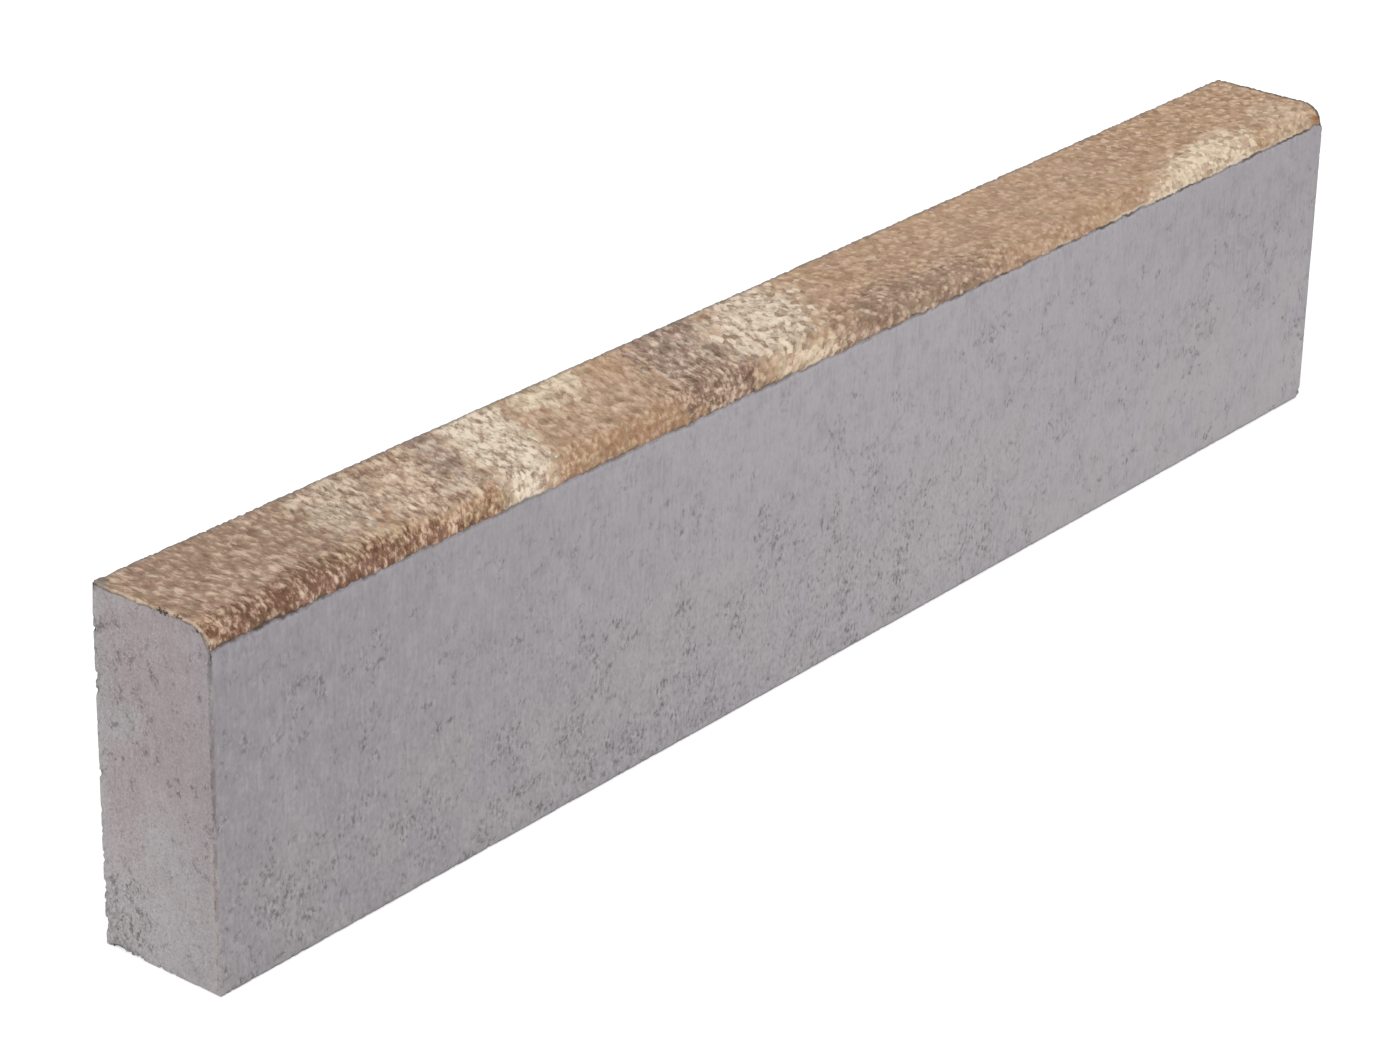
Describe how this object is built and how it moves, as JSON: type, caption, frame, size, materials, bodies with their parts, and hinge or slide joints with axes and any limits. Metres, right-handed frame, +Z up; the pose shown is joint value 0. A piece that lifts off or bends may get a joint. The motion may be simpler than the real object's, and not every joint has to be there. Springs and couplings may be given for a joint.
{
  "type": "concrete kerb stone",
  "caption": "Long rectangular pressed concrete kerb stone with a flat, mottled brown top face and a rounded front top edge, for edging paths, lawns and paving.",
  "frame": {"origin": "middle of the base, the face that the stone is bedded on", "axes": "+X along the stone, +Y from the front face with the rounded top edge to the back face, +Z up to the top face"},
  "size_m": [1, 0.08, 0.2],
  "materials": {
    "pressed_concrete": "matte"
  },
  "bodies": {
    "root": {"kerb_stone": "pressed_concrete"}
  },
  "joints": []
}
